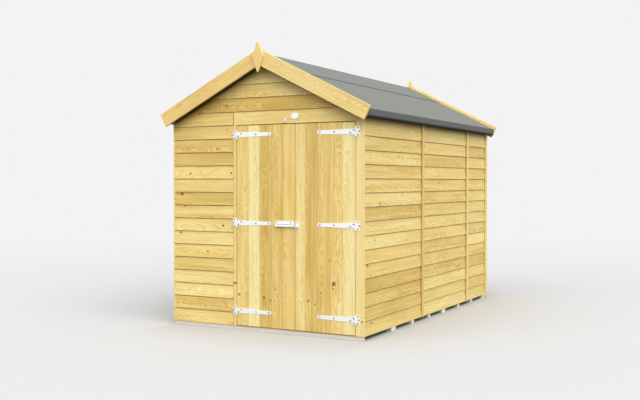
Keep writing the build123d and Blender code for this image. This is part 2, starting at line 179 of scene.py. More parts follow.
def math_node(tree, operation, *values):
    """A Math node fed with sockets or numbers; returns its output."""
    node = tree.nodes.new("ShaderNodeMath")
    node.operation = operation
    for socket, value in zip(node.inputs, values):
        feed(tree, socket, value)
    return node.outputs[0]


def vector_node(tree, operation, *values):
    """A Vector Math node fed with sockets or vectors; returns its first live output."""
    node = tree.nodes.new("ShaderNodeVectorMath")
    node.operation = operation
    for socket, value in zip(node.inputs, values):
        feed(tree, socket, value)
    return node.outputs["Value" if operation in ("LENGTH", "DISTANCE") else "Vector"]


def noise_node(tree, vector, scale, detail=2.0, roughness=0.5):
    """A 3-D noise from 0 to 1."""
    node = tree.nodes.new("ShaderNodeTexNoise")
    node.inputs["Scale"].default_value = scale
    node.inputs["Detail"].default_value = detail
    node.inputs["Roughness"].default_value = roughness
    tree.links.new(vector, node.inputs["Vector"])
    return node.outputs["Fac"]


def range_node(tree, value, low, high, to_low=0.0, to_high=1.0, smooth=False):
    """Maps a value from one range to another, clamped."""
    node = tree.nodes.new("ShaderNodeMapRange")
    node.interpolation_type = "SMOOTHSTEP" if smooth else "LINEAR"
    for socket, number in zip(list(node.inputs)[:5], (value, low, high, to_low, to_high)):
        feed(tree, socket, number)
    return node.outputs["Result"]


def mix_node(tree, factor, first, second):
    """A colour between two, each a socket or a colour."""
    node = tree.nodes.new("ShaderNodeMix")
    node.data_type = "RGBA"
    for socket, value in zip((node.inputs[0], node.inputs[6], node.inputs[7]), (factor, first, second)):
        feed(tree, socket, (*value, 1.0) if isinstance(value, tuple) else value)
    return node.outputs[2]


def attribute_node(tree, name, output):
    """What the mesh of a piece carries under a name."""
    node = tree.nodes.new("ShaderNodeAttribute")
    node.attribute_name = name
    return node.outputs[output]


def parts_of(tree, vector):
    """The three parts of a vector."""
    node = tree.nodes.new("ShaderNodeSeparateXYZ")
    tree.links.new(vector, node.inputs[0])
    return node.outputs


def object_place(tree):
    """The place of a point in the shed's frame."""
    return tree.nodes.new("ShaderNodeTexCoord").outputs["Object"]


def raised(tree, shader, height, strength, distance):
    """Raises the surface of a finish by a height from 0 to 1, over a distance in metres."""
    bump = tree.nodes.new("ShaderNodeBump")
    bump.inputs["Strength"].default_value = strength
    bump.inputs["Distance"].default_value = distance
    tree.links.new(height, bump.inputs["Height"])
    tree.links.new(bump.outputs["Normal"], shader.inputs["Normal"])


def tint(red, green, blue):
    """A colour as a screen shows it, from 0 to 255, in the light values that a shader takes."""
    return tuple(((part / 255 + 0.055) / 1.055) ** 2.4 for part in (red, green, blue))


def pine_figure():
    """The figure of flat-sawn pine: rings and streaks that bend round knots, flecks and fibres."""
    tree = bpy.data.node_groups.new("pine figure", "ShaderNodeTree")
    tree.interface.new_socket("Pins", in_out="INPUT", socket_type="NodeSocketFloat")
    for label in ("Rings", "Streaks", "Cloud", "Flecks", "Knots", "Knot Rims", "Fibres", "Cast"):
        tree.interface.new_socket(label, in_out="OUTPUT", socket_type="NodeSocketFloat")
    given = tree.nodes.new("NodeGroupInput").outputs
    out = tree.nodes.new("NodeGroupOutput").inputs

    def own(number):
        """A number from 0 to 1 of the board's own."""
        return math_node(tree, "FRACT", math_node(tree, "MULTIPLY", board, number))

    def joined(*parts):
        node = tree.nodes.new("ShaderNodeCombineXYZ")
        for socket, part in zip(node.inputs, parts):
            feed(tree, socket, part)
        return node.outputs[0]

    grain = attribute_node(tree, "grain", "Vector")
    board = attribute_node(tree, "board", "Fac")
    along, across, through = parts_of(tree, grain)
    shift = joined(*(math_node(tree, "MULTIPLY", own(number), 40.0) for number in (91.7, 153.1, 220.3)))

    pushed = across
    core = 0.0
    rim = 0.0
    for name in ("knot", "knot_two"):
        knot_along, knot_across, radius = parts_of(tree, attribute_node(tree, name, "Vector"))
        run = math_node(tree, "SUBTRACT", along, knot_along)
        rise = math_node(tree, "SUBTRACT", across, knot_across)
        distance = vector_node(tree, "LENGTH", joined(math_node(tree, "MULTIPLY", run, 0.8), rise, 0.0))
        ragged = noise_node(tree, vector_node(tree, "ADD", grain, shift), 90.0)
        ragged = range_node(tree, ragged, 0.3, 0.7, 0.7, 1.35)
        radius = math_node(tree, "MAXIMUM", radius, 0.00005)
        reach = math_node(tree, "MULTIPLY", math_node(tree, "DIVIDE", distance, radius), ragged)
        stretch = vector_node(tree, "LENGTH", joined(math_node(tree, "MULTIPLY", run, 0.3), rise, 0.0))
        spread = math_node(tree, "DIVIDE", stretch, math_node(tree, "MULTIPLY", radius, 2.6))
        falloff = math_node(tree, "ADD", 1.0, math_node(tree, "POWER", spread, 2.0))
        push = math_node(tree, "DIVIDE", 0.93, falloff)
        pushed = math_node(tree, "SUBTRACT", pushed, math_node(tree, "MULTIPLY", rise, push))
        core = math_node(tree, "ADD", core, range_node(tree, reach, 1.2, 0.7, smooth=True))
        edge = math_node(tree, "ABSOLUTE", math_node(tree, "SUBTRACT", reach, 1.05))
        rim = math_node(tree, "ADD", rim, range_node(tree, edge, 0.3, 0.05, smooth=True))

    pins_along = 4.4
    pins_across = 10.0
    flat = vector_node(tree, "MULTIPLY", joined(along, across, 0.0), (pins_along, pins_across, 0.0))
    pin_place = vector_node(tree, "ADD", flat, shift)
    pins = tree.nodes.new("ShaderNodeTexVoronoi")
    pins.voronoi_dimensions = "2D"
    pins.inputs["Scale"].default_value = 1.0
    tree.links.new(pin_place, pins.inputs["Vector"])
    chance = tree.nodes.new("ShaderNodeSeparateColor")
    tree.links.new(pins.outputs["Color"], chance.inputs[0])
    offset = vector_node(tree, "SUBTRACT", pin_place, pins.outputs["Position"])
    offset = vector_node(tree, "MULTIPLY", offset, (1 / pins_along, 1 / pins_across, 0.0))
    pin_radius = range_node(tree, chance.outputs[1], 0.0, 1.0, 0.0015, 0.0045)
    pin_reach = math_node(tree, "DIVIDE", vector_node(tree, "LENGTH", offset), pin_radius)
    pin = range_node(tree, pin_reach, 1.15, 0.7, smooth=True)
    pin = math_node(tree, "MULTIPLY", pin, math_node(tree, "LESS_THAN", chance.outputs[0], given["Pins"]))
    tree.links.new(math_node(tree, "MAXIMUM", core, pin), out["Knots"])
    tree.links.new(rim, out["Knot Rims"])

    bent = vector_node(tree, "ADD", joined(along, pushed, through), shift)

    def drawn_out(waves_along, waves_across, detail, roughness=0.5):
        """A noise that is stretched along the grain, given its waves in a metre each way."""
        stretched = vector_node(tree, "MULTIPLY", bent, (waves_along, waves_across, waves_across))
        return noise_node(tree, stretched, 1.0, detail, roughness)

    wander = math_node(tree, "ADD", range_node(tree, drawn_out(2.2, 5.0, 2.0), 0.2, 0.8, -0.03, 0.03),
                       range_node(tree, drawn_out(7.0, 16.0, 2.0), 0.2, 0.8, -0.005, 0.005))
    side = math_node(tree, "ADD", pushed, range_node(tree, own(11.3), 0.0, 1.0, -0.05, 0.05))
    deep = math_node(tree, "ADD", math_node(tree, "ADD", through, wander),
                     range_node(tree, own(24.1), 0.0, 1.0, 0.035, 0.11))
    ring_at = vector_node(tree, "LENGTH", joined(side, deep, 0.0))
    growth = noise_node(tree, joined(math_node(tree, "MULTIPLY", ring_at, 60.0), own(5.9), 0.0), 1.0, 2.0)
    ring_pitch = range_node(tree, own(6.7), 0.0, 1.0, 0.0042, 0.0085)
    ring = math_node(tree, "DIVIDE", ring_at, ring_pitch)
    ring = math_node(tree, "FRACT", math_node(tree, "ADD", ring, math_node(tree, "MULTIPLY", growth, 2.0)))
    late = math_node(
        tree, "MULTIPLY", math_node(tree, "POWER", ring, 2.4), range_node(tree, ring, 1.0, 0.9, smooth=True)
    )
    tree.links.new(late, out["Rings"])

    broad = math_node(tree, "MULTIPLY", drawn_out(0.8, 30.0, 3.0, 0.6), 0.6)
    slim = math_node(tree, "MULTIPLY", drawn_out(2.6, 105.0, 2.0, 0.6), 0.4)
    tree.links.new(range_node(tree, math_node(tree, "ADD", broad, slim), 0.33, 0.67), out["Streaks"])
    tree.links.new(range_node(tree, drawn_out(2.0, 9.0, 1.0), 0.3, 0.7), out["Cloud"])
    tree.links.new(range_node(tree, drawn_out(10.0, 150.0, 1.0), 0.60, 0.74, smooth=True), out["Flecks"])
    tree.links.new(drawn_out(14.0, 700.0, 2.0, 0.6), out["Fibres"])
    tree.links.new(own(2.9), out["Cast"])
    return tree


figure = pine_figure()
knot_brown = tint(120, 72, 18)
rim_brown = tint(82, 46, 12)
# Colours of painted shade: under the laps, on the strips' sawn edges, and where boards run in under the roof.
lap_shade_brown = tint(172, 118, 28)
sawn_edge_shade = tint(178, 138, 66)
roof_shade_brown = (0.05, 0.025, 0.0)
roof_shade_depth = 0.028
roof_fall = 0.5


def new_finish(name):
    """A new material, with its node tree and its shader."""
    material = bpy.data.materials.new(name)
    material.use_nodes = True
    return material, material.node_tree, material.node_tree.nodes["Principled BSDF"]


def pine(name, pale, plain, deep, pins=0.12, rough=0.62, relief=0.0005, contrast=1.0,
         laps=False, roof_line=0.0, sawn_from=0.0):
    """A treated pine finish between three wood colours.

    With laps, boards get painted shade in the corner under the next board's foot. With roof_line, they
    get painted shade up to that level, which falls with the roof from the ridge to each side, where they run
    in under it. With sawn_from, the edges that lie that far from the middle of the face are rough-sawn and
    darker, with painted shade for the shade on the strips' side faces."""
    material, tree, shader = new_finish(name)
    wood = tree.nodes.new("ShaderNodeGroup")
    wood.node_tree = figure
    wood.inputs["Pins"].default_value = pins

    def share(value, centre, weight):
        return math_node(tree, "MULTIPLY", math_node(tree, "SUBTRACT", value, centre), weight * contrast)

    def stained(wood_colour, mask, strength, stain):
        return mix_node(tree, math_node(tree, "MULTIPLY", mask, strength), wood_colour, stain)

    shade = math_node(tree, "MULTIPLY", attribute_node(tree, "tone", "Fac"), 0.4)
    for label, centre, weight in (("Streaks", 0.5, 0.5), ("Cloud", 0.5, 0.22), ("Rings", 0.2, 0.5)):
        shade = math_node(tree, "ADD", shade, share(wood.outputs[label], centre, weight))
    light_half = mix_node(tree, range_node(tree, shade, -0.5, 0.0), pale, plain)
    ground = mix_node(tree, range_node(tree, shade, 0.0, 0.6), light_half, deep)
    warm = tuple(part * factor for part, factor in zip(plain, (1.05, 0.90, 0.72)))
    ground = mix_node(tree, range_node(tree, wood.outputs["Cast"], 0.5, 1.0, 0.0, 0.3), ground, warm)
    fleck = tuple(part * factor for part, factor in zip(deep, (0.64, 0.45, 0.2)))
    ground = stained(ground, wood.outputs["Flecks"], 0.26 * contrast, fleck)
    ground = stained(ground, wood.outputs["Knots"], 0.8, knot_brown)
    ground = stained(ground, wood.outputs["Knot Rims"], 0.7, rim_brown)
    # Painted shade on the boards where they run in under the barge boards and the eave.
    if roof_line:
        place = parts_of(tree, object_place(tree))
        fallen = math_node(tree, "MULTIPLY", math_node(tree, "ABSOLUTE", place[0]), roof_fall)
        level = math_node(tree, "ADD", place[2], fallen)
        corner = range_node(tree, level, roof_line - roof_shade_depth, roof_line, 0.0, 0.85, smooth=True)
        ground = mix_node(tree, corner, ground, roof_shade_brown)
    # Painted shade: a thin warm dark line in the corner under each lap.
    if laps:
        below_lap = attribute_node(tree, "lap", "Fac")
        under = range_node(tree, below_lap, 0.008, 0.002, 0.0, 0.6, smooth=True)
        ground = mix_node(tree, under, ground, lap_shade_brown)
    # Painted shade on the strips' side faces, where their edges are rough-sawn.
    if sawn_from:
        across = parts_of(tree, attribute_node(tree, "grain", "Vector"))[1]
        sawn = math_node(tree, "GREATER_THAN", math_node(tree, "ABSOLUTE", across), sawn_from)
        ground = stained(ground, sawn, 0.6, sawn_edge_shade)
    tree.links.new(ground, shader.inputs["Base Color"])
    tree.links.new(range_node(tree, wood.outputs["Fibres"], 0.2, 0.8, rough - 0.08, rough + 0.1),
                   shader.inputs["Roughness"])
    shader.inputs["Specular IOR Level"].default_value = 0.3
    height = math_node(tree, "ADD", math_node(tree, "MULTIPLY", wood.outputs["Fibres"], 0.5),
                       math_node(tree, "MULTIPLY", wood.outputs["Rings"], 0.5))
    raised(tree, shader, height, 0.6, relief)
    return material


bearer_wood = pine("pale sawn bearer", tint(246, 244, 240), tint(236, 233, 228), tint(216, 211, 204),
                   pins=0.05, rough=0.8, relief=0.001, contrast=0.6)
bm = eased_copy("floor_bearers")
mark_grain(bm, "bearers")
finish_piece(bm, "bearers", bearer_wood, "root", "bearers", "floor_bearers")
skirt_in_shade = 0.003
skirt_wood = pine("pale sawn skirt", tint(227, 222, 214), tint(217, 211, 203), tint(201, 195, 186),
                  pins=0.0, rough=0.8, relief=0.001, contrast=0.5, laps=True)
bm = eased_copy("front_skirt_board")
mark_grain(bm, "skirt", knots=0)
# Painted shade along the top of the skirt, under the foot of the wall's cladding.
lap = bm.verts.layers.float.new("lap")
for vert in bm.verts:
    vert[lap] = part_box("front_skirt_board")[1].z - vert.co.z - skirt_in_shade
finish_piece(bm, "skirt_board", skirt_wood, "root", "bearers", "front_skirt_board")

# Floor of planed boards, which run from front to back and are nailed down on the bearers.
# Three sections lie end to end; the boards have a small chamfer where they meet.
floor_board_width = 0.106
floor_board_gap = 0.0012
floor_pine = pine("planed floor pine", tint(232, 214, 164), tint(222, 196, 134), tint(196, 162, 100))


def plank(bm, low, high):
    """One square-edged board between two corners."""
    size = high - low
    place = Matrix.Translation((low + high) / 2) @ Matrix.Diagonal((*size, 1.0))
    return bmesh.ops.create_cube(bm, size=1.0, matrix=place)["verts"]


for section in ("floor_front", "floor_middle", "floor_rear"):
    low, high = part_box(section)
    count = round((high.x - low.x) / floor_board_width)
    step = (high.x - low.x) / count
    bm = bmesh.new()
    for index in range(count):
        near = low.x + step * index + (floor_board_gap / 2 if index else 0)
        far = low.x + step * (index + 1) - (floor_board_gap / 2 if index < count - 1 else 0)
        plank(bm, Vector((near, low.y, low.z)), Vector((far, high.y, high.z)))
    ease_all(bm, timber_ease)
    mark_grain(bm, section, Vector((0, 1, 0)))
    finish_piece(bm, section + "_boards", floor_pine, "root", "floor_boards", section)

# Wall framing of sawn timber: rails and studs that the cladding is nailed to, and the gable rafters.
# The cladding covers it outside, and it shows inside the shed.
frame_pine = pine("sawn framing pine", tint(236, 216, 160), tint(224, 196, 130), tint(196, 160, 92),
                  rough=0.72)
for node in ("side_wall_rails", "side_wall_studs", "end_wall_rails", "end_wall_framing", "roof_framing"):
    bm = eased_copy(node)
    mark_grain(bm, node)
    finish_piece(bm, node + "_timber", frame_pine, "root", "framing", node)

# Overlap cladding: thin sawn boards, each lapped over the one below, so that every row stands out at its
# lower edge and throws a line of shadow. The end walls and the three panels of a side are clad apart.
board_thickness = 0.007
board_lap = 0.011
board_ease = 0.0008
end_clearance = 0.0035
front_cover = 0.112
header_row = 15
wall_rows = 16
gable_rows = 20
side_cover = 0.1113
side_first_cover = 0.119
side_rows = 13
roof_board_thickness = 0.012
# The cladding has painted shade under its laps, and up to this level at the ridge, where it runs in under the
# roof.
roof_shade_level = 2.204
cladding_pine = pine("sawn overlap pine", tint(247, 228, 156), tint(235, 208, 130), tint(204, 168, 84),
                     pins=0.08, contrast=1.2, laps=True, roof_line=roof_shade_level)


def lapped_board(bm, start, end, base, cover):
    """One tilted board along X with its outer foot on the plane y = 0."""
    tilt = math.atan(board_thickness / cover)
    width = (cover + board_lap) / math.cos(tilt)
    foot = Vector(((start + end) / 2, 0.0, base))
    slab = Matrix.Diagonal((end - start, board_thickness, width, 1.0))
    set_up = Matrix.Translation((0.0, board_thickness / 2, width / 2))
    place = Matrix.Translation(foot) @ Matrix.Rotation(-tilt, 4, "X") @ set_up @ slab
    bmesh.ops.create_cube(bm, size=1.0, matrix=place)


def trim_by(bm, point, outward):
    """Cuts the boards along a plane and closes the cut ends."""
    bmesh.ops.bisect_plane(
        bm, geom=bm.verts[:] + bm.edges[:] + bm.faces[:], plane_co=point, plane_no=outward,
        clear_outer=True, clear_inner=False
    )
    open_edges = [edge for edge in bm.edges if edge.is_boundary]
    bmesh.ops.holes_fill(bm, edges=open_edges, sides=0)


def mark_laps(bm, cover):
    """Marks how far each point of a board lies below the foot of the board over it, in metres.

    A wide top board has none over it, so all of it counts as lying far below."""
    lap = bm.verts.layers.float.new("lap")
    for solid in islands(bm):
        foot = min(vert.co.z for vert in solid)
        lowest = foot < wall_base + cover / 2
        shown = side_first_cover if lowest and cover == side_cover else cover
        if max(vert.co.z for vert in solid) - foot > 1.5 * cover:
            shown = 1.0
        for vert in solid:
            vert[lap] = foot + shown - vert.co.z


slope_length = math.hypot(1, roof_fall)
slopes = [Vector((lean, 0, 1 / roof_fall)).normalized() for lean in (1, -1)]
under_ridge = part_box("roof_boards_right")[1].z - roof_board_thickness * slope_length
wall_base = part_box("front_wall_left")[0].z
front_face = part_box("front_wall_left")[0].y
rear_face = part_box("rear_wall")[1].y
side_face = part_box("right_wall_front")[1].x


def cut_to_roof(bm):
    """Cuts wall boards to the underside of both roof slopes."""
    for outward in slopes:
        trim_by(bm, Vector((0, 0, under_ridge)), outward)


front_knots = [((x, front_face, z), radius) for x, z, radius in (
    (-0.837, 1.136, 0.0125), (-0.809, 1.032, 0.006), (-0.325, 1.316, 0.007), (-0.650, 1.822, 0.006))]
side_knots = [((side_face, y, z), radius) for y, z, radius in (
    (-0.833, 1.449, 0.007), (-1.209, 1.071, 0.007), (-0.034, 1.073, 0.007), (-1.441, 0.584, 0.010),
    (-1.377, 0.507, 0.006))]


def end_wall(node, first_row, rows, facing):
    """The lapped boards of one stretch of end wall; facing is -1 at the front and 1 at the rear."""
    low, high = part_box(node)
    bm = bmesh.new()
    start = low.x + (end_clearance if node == "front_header" else 0)
    end = high.x - (end_clearance if node == "front_wall_left" else 0)
    for row in range(first_row, rows):
        lapped_board(bm, start, end, wall_base + front_cover * row, front_cover)
    face = low.y if facing < 0 else high.y
    turn = Matrix.Identity(4) if facing < 0 else Matrix.Rotation(math.pi, 4, "Z")
    bmesh.ops.transform(bm, matrix=Matrix.Translation((0, face, 0)) @ turn, verts=bm.verts[:])
    if facing > 0:
        bmesh.ops.translate(bm, vec=(low.x + high.x, 0, 0), verts=bm.verts[:])
    cut_to_roof(bm)
    trim_by(bm, Vector((0, 0, high.z)), Vector((0, 0, 1)))
    ease_all(bm, board_ease)
    mark_grain(bm, node, Vector((1, 0, 0)), knots_at=front_knots if facing < 0 else (), from_foot=True)
    mark_laps(bm, front_cover)
    finish_piece(bm, node + "_boards", cladding_pine, "root", "cladding", node)


end_wall("front_wall_left", 0, wall_rows, -1)
end_wall("front_header", header_row, wall_rows, -1)
end_wall("front_gable", wall_rows, gable_rows, -1)
end_wall("rear_wall", 0, wall_rows, 1)
end_wall("rear_gable", wall_rows, gable_rows, 1)

for side, outward_x in (("left", -1), ("right", 1)):
    for panel in ("front", "middle", "rear"):
        node = f"{side}_wall_{panel}"
        low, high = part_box(node)
        bm = bmesh.new()
        lapped_board(bm, low.y, high.y, wall_base, side_first_cover)
        base = wall_base + side_first_cover
        for row in range(side_rows):
            lapped_board(bm, low.y, high.y, base, side_cover)
            base += side_cover
        lapped_board(bm, low.y, high.y, base, high.z - base)
        middle = (low.y + high.y) / 2
        bmesh.ops.translate(bm, vec=(-middle, 0, 0), verts=bm.verts[:])
        turn = Matrix.Rotation(outward_x * math.pi / 2, 4, "Z")
        face = high.x if outward_x > 0 else low.x
        bmesh.ops.transform(bm, matrix=Matrix.Translation((face, middle, 0)) @ turn, verts=bm.verts[:])
        cut_to_roof(bm)
        ease_all(bm, board_ease)
        mark_grain(bm, node, Vector((0, 1, 0)), knots_at=side_knots if outward_x > 0 else (), from_foot=True)
        mark_laps(bm, side_cover)
        finish_piece(bm, node + "_boards", cladding_pine, "root", "cladding", node)

# Nails through the foot of every cladding board into the studs, the gable rafters and the header's rail.
# They have small flat round heads of dull galvanised steel, driven nearly flush with the board.
nail_head_radius = 0.0026
nail_head_length = 0.0022
nail_head_taper = 0.85
nail_head_sides = 8
nail_head_set_back = 0.0006
nail_above_foot = 0.020
nail_sunk = board_thickness / front_cover * nail_above_foot
nail_from_roof = 0.05
nail_from_end = 0.03
least_nail_reach = 0.02
header_nails = 6
shortest_stud = 1.2


def mottled(name, waves, first, second, roughness, specular=0.5, metallic=0.0):
    """A finish that drifts between two colours, with a number of waves in a metre."""
    material, tree, shader = new_finish(name)
    colour = mix_node(tree, noise_node(tree, object_place(tree), waves), first, second)
    tree.links.new(colour, shader.inputs["Base Color"])
    shader.inputs["Roughness"].default_value = roughness
    shader.inputs["Specular IOR Level"].default_value = specular
    shader.inputs["Metallic"].default_value = metallic
    return material


def nail_head(bm, place, facing):
    """One flat round head whose face stands just proud of a place."""
    turn = Vector((0, 0, 1)).rotation_difference(Vector(facing)).to_matrix().to_4x4()
    seat = Matrix.Translation(Vector(place) - Vector(facing) * nail_head_set_back) @ turn
    bmesh.ops.create_cone(
        bm, cap_ends=True, segments=nail_head_sides, radius1=nail_head_radius,
        radius2=nail_head_radius * nail_head_taper, depth=nail_head_length, matrix=seat
    )


def stud_centres(node):
    """The middles of the upright timbers of a node."""
    bm = clean_copy(node)
    found = []
    for solid in islands(bm):
        heights = [vert.co.z for vert in solid]
        if len(solid) == 8 and max(heights) - min(heights) > shortest_stud:
            found.append(sum((vert.co for vert in solid), Vector()) / len(solid))
    bm.free()
    return found


galvanised = mottled("dull galvanised nails", 40.0, tint(168, 158, 130), tint(132, 122, 98), 0.55,
                     metallic=0.4)
bm = bmesh.new()
side_feet = [wall_base] + [wall_base + side_first_cover + side_cover * row for row in range(side_rows + 1)]
for stud in stud_centres("side_wall_studs"):
    outward_x = math.copysign(1, stud.x)
    face = outward_x * (side_face - nail_sunk)
    for foot in side_feet:
        nail_head(bm, (face, stud.y, foot + nail_above_foot), (outward_x, 0, 0))
for stud in stud_centres("end_wall_framing"):
    facing = math.copysign(1, stud.y)
    face = front_face if facing < 0 else rear_face
    for row in range(wall_rows):
        if facing > 0 or stud.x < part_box("front_wall_left")[1].x:
            height = wall_base + front_cover * row + nail_above_foot
            nail_head(bm, (stud.x, face - facing * nail_sunk, height), (0, facing, 0))
for face, facing in ((front_face, -1), (rear_face, 1)):
    for row in range(wall_rows, gable_rows):
        height = wall_base + front_cover * row + nail_above_foot
        reach = (under_ridge - height) / roof_fall - nail_from_roof
        for place in (-reach, reach) if reach > least_nail_reach else ():
            nail_head(bm, (place, face - facing * nail_sunk, height), (0, facing, 0))
header_low, header_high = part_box("front_header")
header_pitch = (header_high.x - header_low.x - 2 * nail_from_end) / (header_nails - 1)
for step in range(header_nails):
    place = header_low.x + nail_from_end + step * header_pitch
    nail_head(bm, (place, front_face + nail_sunk, header_low.z + nail_above_foot), (0, -1, 0))
finish_piece(bm, "cladding_nails", galvanised, "root", "galvanised")

# Planed strips of pale pine: cover strips over the panel joints, corner trims and the two door posts.
# They are nailed upright over the ends of the cladding boards.
# The strips' edges are rough-sawn, and are darkened with painted shade for the shade on their side faces.
strip_sawn_from = 0.0226
trim_pine = pine("planed trim pine", tint(251, 236, 180), tint(244, 221, 152), tint(224, 190, 112),
                 pins=0.04, rough=0.55, contrast=0.7)
strip_pine = pine("rough-edged strip pine with painted edge shade", tint(250, 232, 176), tint(236, 208, 138), tint(216, 180, 104),
                  pins=0.04, rough=0.6, contrast=0.8, sawn_from=strip_sawn_from)
post_tones = (0.6, -0.1)
for node, wood in (("wall_cover_strips", strip_pine), ("corner_trims", trim_pine), ("door_posts", trim_pine)):
    bm = eased_copy(node)
    mark_grain(bm, node, Vector((0, 0, 1)), knots=1, tones=post_tones if node == "door_posts" else ())
    finish_piece(bm, node + "_pine", wood, "root", "trim", node)

# Door leaves of five upright boards each, nailed to ledges and braces on the inside.
# The first board of the right leaf is ripped narrower than the rest.
leaf_board_gap = 0.0014
leaf_ease = 0.0018
narrow_share = 0.174
door_pine = pine("planed door pine", tint(250, 233, 170), tint(237, 209, 130), tint(205, 165, 80),
                 pins=0.05, rough=0.58, contrast=1.1, laps=True)
left_shares = [0.2] * 5
right_shares = [narrow_share] + [(1 - narrow_share) / 4] * 4
left_tones = (0.15, -1.3, 0.7, 0.5, 0.1)
right_tones = (-0.5, 0.75, 0.45, -0.1, -0.8)
leaf_knots = [((x, front_face, z), radius) for x, z, radius in (
    (-0.001, 0.286, 0.0075), (0.0605, 0.265, 0.0055), (0.109, 0.356, 0.006), (0.179, 0.430, 0.0045),
    (0.420, 0.288, 0.0075), (0.479, 0.263, 0.0055), (0.530, 0.356, 0.006), (0.610, 0.618, 0.006),
    (0.648, 0.434, 0.0125), (0.044, 1.690, 0.006))]
for side, shares, tones in (("left", left_shares, left_tones), ("right", right_shares, right_tones)):
    node = f"{side}_door_leaf"
    low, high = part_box(node)
    bm = bmesh.new()
    edge = low.x
    for index, share in enumerate(shares):
        near = edge + (leaf_board_gap / 2 if index else 0)
        edge += share * (high.x - low.x)
        far = edge - (leaf_board_gap / 2 if index < len(shares) - 1 else 0)
        plank(bm, Vector((near, low.y, low.z)), Vector((far, high.y, high.z)))
    ease_all(bm, leaf_ease)
    mark_grain(bm, node, Vector((0, 0, 1)), tones=tones, knots_at=leaf_knots)
    # Painted shade along the top of each leaf, under the header.
    lap = bm.verts.layers.float.new("lap")
    for vert in bm.verts:
        vert[lap] = high.z - vert.co.z
    finish_piece(bm, node + "_boards", door_pine, f"{side}_door", "door_boards", node)
    bm = eased_copy(f"{side}_door_ledges")
    mark_grain(bm, f"{side}_door_ledges")
    finish_piece(bm, f"{side}_door_ledges_pine", frame_pine, f"{side}_door", "framing", f"{side}_door_ledges")

# Fittings of pressed steel with a bright zinc plating: hinge straps, pad bolt and keeper, turn button and
# tally plate. They are screwed to the face of the doors and the header, and each is the solid itself.
zinc, tree, shader = new_finish("bright zinc")
spangle = noise_node(tree, object_place(tree), 90.0, 3.0)
tree.links.new(mix_node(tree, spangle, (0.95, 0.955, 0.96), (0.86, 0.87, 0.88)), shader.inputs["Base Color"])
tree.links.new(range_node(tree, spangle, 0.3, 0.7, 0.32, 0.5), shader.inputs["Roughness"])
shader.inputs["Metallic"].default_value = 0.35


def coat(material, *nodes):
    """Gives solids of the shed their finish."""
    for node in nodes:
        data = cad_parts[node].data
        data.materials.clear()
        data.materials.append(material)


coat(zinc, "left_door_straps", "right_door_straps", "bolt_plate", "bolt_bar", "bolt_keeper", "turn_button",
     "tally_plate")

# Fixed plates of the tee hinges, pressed from zinc-plated sheet and screwed to the posts.
# Each has three rounded lobes for its screws, and two knuckles that hold the pin above and below the strap's.
plate_thickness = 0.0025
plate_half_height = 0.040
knuckle_radius = 0.0055
knuckle_height = 0.0240
knuckle_offset = 0.0245
knuckle_gap = 0.0005
knuckle_wrap = 0.001
hinge_pin_radius = 0.0025
plates_low, plates_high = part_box("hinge_plates")
plate_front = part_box("left_door_leaf")[0].y
plate_face = plate_front - plate_thickness
pin_line = plates_low.y + knuckle_radius
left_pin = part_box("left_door_straps")[0].x + knuckle_radius
right_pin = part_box("right_door_straps")[1].x - knuckle_radius
hinge_pitch = (plates_high.z - plates_low.z) / 2 - plate_half_height
hinge_levels = [plates_low.z + plate_half_height + step * hinge_pitch for step in range(3)]
lobe_radius = 0.0135
lobe_steps = 6
# Each lobe has the reach and height of its middle, and the angles where its edge starts and ends.
lobes = ((0.0220, 0.0265, 90, -50), (0.0245, 0.0, 50, -50), (0.0220, -0.0265, 50, -90))


def upright_rod(bm, x, y, z, radius, height):
    """An upright cylinder about a middle point."""
    bmesh.ops.create_cone(
        bm, cap_ends=True, segments=24, radius1=radius, radius2=radius, depth=height,
        matrix=Matrix.Translation((x, y, z))
    )


bm = bmesh.new()
for level in hinge_levels:
    for pin, away in ((left_pin, -1), (right_pin, 1)):
        outline = [(knuckle_radius + knuckle_gap, plate_half_height)]
        for middle, height, first, last in lobes:
            for step in range(lobe_steps + 1):
                angle = math.radians(first + (last - first) * step / lobe_steps)
                reach = middle + lobe_radius * math.cos(angle)
                outline.append((reach, height + lobe_radius * math.sin(angle)))
        outline.append((knuckle_radius + knuckle_gap, -plate_half_height))
        ring = [bm.verts.new((pin + away * x, plate_front, level + z)) for x, z in outline]
        sheet = bmesh.ops.extrude_face_region(bm, geom=[bm.faces.new(ring)])["geom"]
        front = [part for part in sheet if isinstance(part, bmesh.types.BMVert)]
        bmesh.ops.translate(bm, vec=(0, -plate_thickness, 0), verts=front)
        near, far = sorted((pin, pin + away * (knuckle_radius + knuckle_wrap)))
        for middle in (level - knuckle_offset, level + knuckle_offset):
            plank(bm, Vector((near, plate_face, middle - knuckle_height / 2)),
                  Vector((far, plate_front, middle + knuckle_height / 2)))
            upright_rod(bm, pin, pin_line, middle, knuckle_radius, knuckle_height)
        upright_rod(bm, pin, pin_line, level, hinge_pin_radius, 2 * knuckle_offset + knuckle_height)
bmesh.ops.recalc_face_normals(bm, faces=bm.faces[:])
finish_piece(bm, "hinge_plates_lobed", zinc, "root", "galvanised", "hinge_plates")

# Screws of the fittings: black steel screws with a cross and a low bevelled head, driven home on each plate.
# A black strip on the bolt plate, just over the bar, is made with them: a painted shadow of the bar on the
# plate.
screw_radius = 0.0060
bolt_screw_radius = 0.0046
tally_screw_radius = 0.0034
screw_height = 0.0014
screw_sides = 16
# The top of a screw, the rim round its cross and the waist of the cross are shares of its radius.
screw_top = 0.74
cross_rim = 0.12
cross_waist = 0.32
# The depth of the cross is a share of the screw's height.
cross_depth = 0.55
